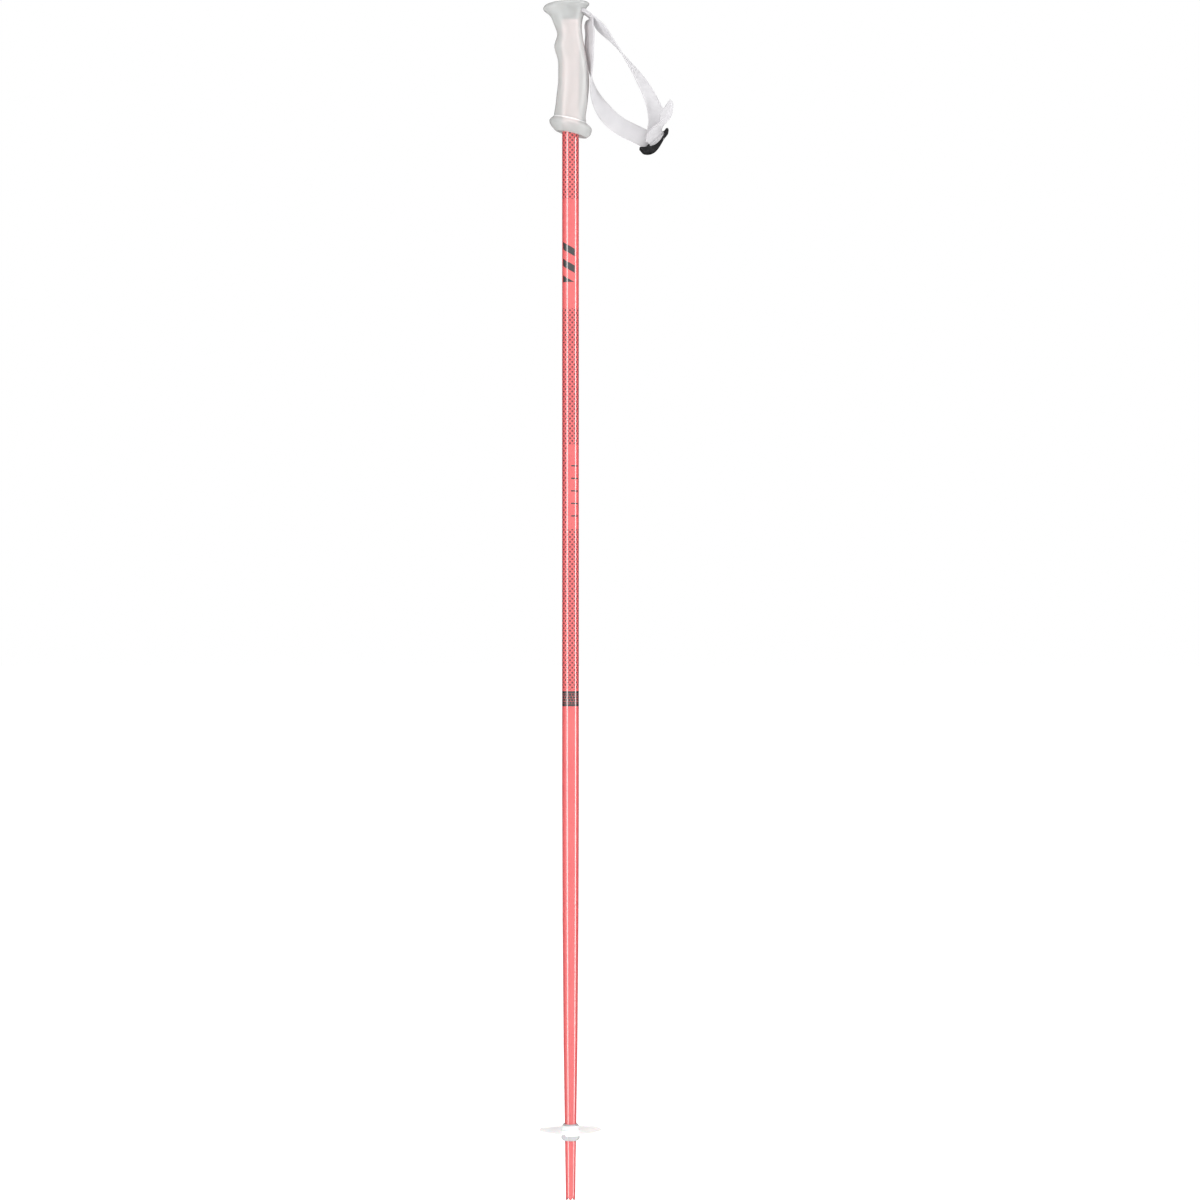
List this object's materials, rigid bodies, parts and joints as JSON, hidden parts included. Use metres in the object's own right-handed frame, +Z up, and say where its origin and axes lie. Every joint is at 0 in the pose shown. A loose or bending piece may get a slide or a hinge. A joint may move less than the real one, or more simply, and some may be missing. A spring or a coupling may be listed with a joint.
{
  "type": "ski pole",
  "caption": "Alpine ski pole: tapered painted aluminium shaft with a serrated tip, translucent moulded grip, adjustable webbing wrist strap and round snow basket.",
  "frame": {"origin": "centre of the shaft's tip, on the plane of the tip's teeth", "axes": "+Z up along the shaft's axis from tip to grip, +X to the rear, where the strap hangs, -X to the front, where the fingers lie, +Y to the skier's left"},
  "size_m": [0.1288, 0.06, 1.15],
  "materials": {
    "coral_paint": "aluminium tube under gloss coral paint, with a printed dot pattern on the upper half",
    "grip_rubber": "milky translucent soft moulding, satin",
    "cap_plastic": "satin, white",
    "plug_plastic": "plain, off-white",
    "pin_steel": "ground",
    "webbing": "light grey-white woven polyester",
    "thread": "sewing thread, light grey",
    "buckle_plastic": "satin black",
    "basket_plastic": "white, slightly translucent",
    "collar_plastic": "white, satin"
  },
  "bodies": {
    "pole": {"shaft_tube": "coral_paint", "shaft_top_plug": "plug_plastic", "tip_plug": "plug_plastic", "grip_body": "grip_rubber", "head_cap": "cap_plastic", "strap_anchor_pin": "pin_steel", "strap_root": "webbing"},
    "strap_neck": {"strap_throat": "webbing"},
    "strap_loop": {"strap_upper_strand": "webbing", "strap_lower_strand": "webbing", "strap_turn": "webbing", "strap_tail": "webbing", "strap_sewn_end": "webbing", "strap_stitches": "thread"},
    "buckle": {"buckle_frame": "buckle_plastic"},
    "collar": {"basket_collar": "collar_plastic"},
    "basket": {"basket_disc": "basket_plastic"}
  },
  "joints": [
    {"name": "strap_twist", "type": "hinge", "parent": "pole", "child": "strap_neck", "pos_m": [0.01731, 0, 1.13739], "axis": [0.8192, 0, -0.5736], "range_deg": [0, 80]},
    {"name": "strap_lift", "type": "hinge", "parent": "strap_neck", "child": "strap_loop", "pos_m": [0.02022, 0, 1.13535], "axis": [0, -1, 0], "range_deg": [0, 75]},
    {"name": "buckle_tilt", "type": "hinge", "parent": "strap_loop", "child": "buckle", "pos_m": [0.081, 0, 1.0166], "axis": [0.7547, 0, 0.6561], "range_deg": [-10, 10]},
    {"name": "basket_pull_off", "type": "slide", "parent": "pole", "child": "collar", "axis": [0, 0, -1], "range_m": [0, 0.076]},
    {"name": "basket_spin", "type": "hinge", "parent": "collar", "child": "basket", "pos_m": [0, 0, 0.0662], "axis": [0, 0, 1], "continuous": true}
  ]
}
